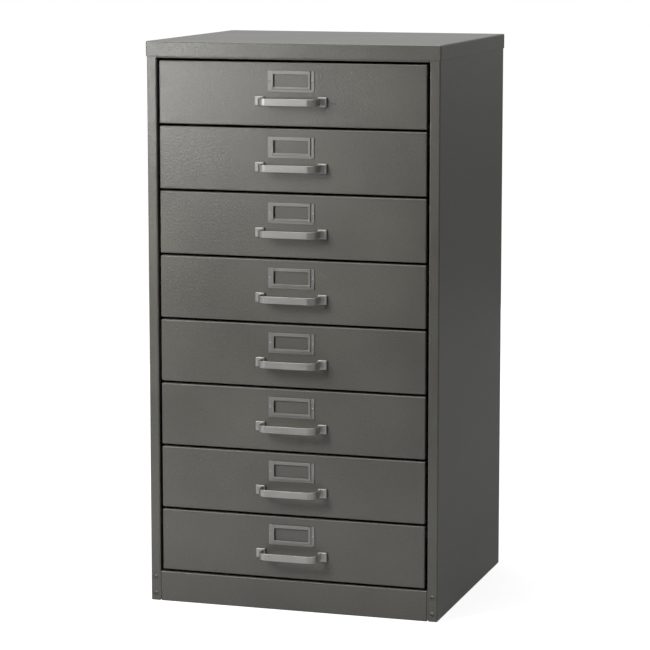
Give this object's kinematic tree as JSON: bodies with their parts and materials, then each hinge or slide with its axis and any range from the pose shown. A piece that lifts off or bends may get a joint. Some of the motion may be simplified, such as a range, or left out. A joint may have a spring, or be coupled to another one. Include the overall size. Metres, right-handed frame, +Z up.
{
  "type": "small metal drawer cabinet",
  "caption": "Tall narrow sheet-steel cabinet with a column of shallow drawers, each with a bow handle and a card label holder, under a lipped top cover and above a riveted plinth.",
  "frame": {"origin": "on the floor, below the middle of the cabinet's box with the handles and the cover screws", "axes": "+X to the right and +Z up, as seen from the front; the drawers face -Y and open along -Y"},
  "size_m": [0.45, 0.4148, 0.844],
  "materials": {
    "grey_paint": "satin, fine textured",
    "inner_paint": "satin",
    "satin_nickel": "satin, brushed",
    "zinc_steel": "dull zinc plate",
    "rivet_steel": "dull"
  },
  "bodies": {
    "carcase": {"top_cover": "grey_paint", "left_side_panel": "grey_paint", "right_side_panel": "grey_paint", "back_panel": "grey_paint", "top_rail": "grey_paint", "plinth": "grey_paint", "floor_pan": "inner_paint", "plinth_rivets": "rivet_steel", "back_rivets": "rivet_steel", "cover_screws": "zinc_steel", "runner_pair_1": "zinc_steel", "runner_pair_2": "zinc_steel", "runner_pair_3": "zinc_steel", "runner_pair_4": "zinc_steel", "runner_pair_5": "zinc_steel", "runner_pair_6": "zinc_steel", "runner_pair_7": "zinc_steel", "runner_pair_8": "zinc_steel"},
    "drawer_1": {"drawer_1_tray": "inner_paint", "drawer_1_front": "grey_paint", "drawer_1_handle": "satin_nickel", "drawer_1_label_holder": "satin_nickel", "drawer_1_fixings": "zinc_steel"},
    "drawer_2": {"drawer_2_tray": "inner_paint", "drawer_2_front": "grey_paint", "drawer_2_handle": "satin_nickel", "drawer_2_label_holder": "satin_nickel", "drawer_2_fixings": "zinc_steel"},
    "drawer_3": {"drawer_3_tray": "inner_paint", "drawer_3_front": "grey_paint", "drawer_3_handle": "satin_nickel", "drawer_3_label_holder": "satin_nickel", "drawer_3_fixings": "zinc_steel"},
    "drawer_4": {"drawer_4_tray": "inner_paint", "drawer_4_front": "grey_paint", "drawer_4_handle": "satin_nickel", "drawer_4_label_holder": "satin_nickel", "drawer_4_fixings": "zinc_steel"},
    "drawer_5": {"drawer_5_tray": "inner_paint", "drawer_5_front": "grey_paint", "drawer_5_handle": "satin_nickel", "drawer_5_label_holder": "satin_nickel", "drawer_5_fixings": "zinc_steel"},
    "drawer_6": {"drawer_6_tray": "inner_paint", "drawer_6_front": "grey_paint", "drawer_6_handle": "satin_nickel", "drawer_6_label_holder": "satin_nickel", "drawer_6_fixings": "zinc_steel"},
    "drawer_7": {"drawer_7_tray": "inner_paint", "drawer_7_front": "grey_paint", "drawer_7_handle": "satin_nickel", "drawer_7_label_holder": "satin_nickel", "drawer_7_fixings": "zinc_steel"},
    "drawer_8": {"drawer_8_tray": "inner_paint", "drawer_8_front": "grey_paint", "drawer_8_handle": "satin_nickel", "drawer_8_label_holder": "satin_nickel", "drawer_8_fixings": "zinc_steel"}
  },
  "joints": [
    {"name": "drawer_1_slide", "type": "slide", "parent": "carcase", "child": "drawer_1", "axis": [0, -1, 0], "range_m": [0, 0.29]},
    {"name": "drawer_2_slide", "type": "slide", "parent": "carcase", "child": "drawer_2", "axis": [0, -1, 0], "range_m": [0, 0.29]},
    {"name": "drawer_3_slide", "type": "slide", "parent": "carcase", "child": "drawer_3", "axis": [0, -1, 0], "range_m": [0, 0.29]},
    {"name": "drawer_4_slide", "type": "slide", "parent": "carcase", "child": "drawer_4", "axis": [0, -1, 0], "range_m": [0, 0.29]},
    {"name": "drawer_5_slide", "type": "slide", "parent": "carcase", "child": "drawer_5", "axis": [0, -1, 0], "range_m": [0, 0.29]},
    {"name": "drawer_6_slide", "type": "slide", "parent": "carcase", "child": "drawer_6", "axis": [0, -1, 0], "range_m": [0, 0.29]},
    {"name": "drawer_7_slide", "type": "slide", "parent": "carcase", "child": "drawer_7", "axis": [0, -1, 0], "range_m": [0, 0.29]},
    {"name": "drawer_8_slide", "type": "slide", "parent": "carcase", "child": "drawer_8", "axis": [0, -1, 0], "range_m": [0, 0.29]}
  ]
}
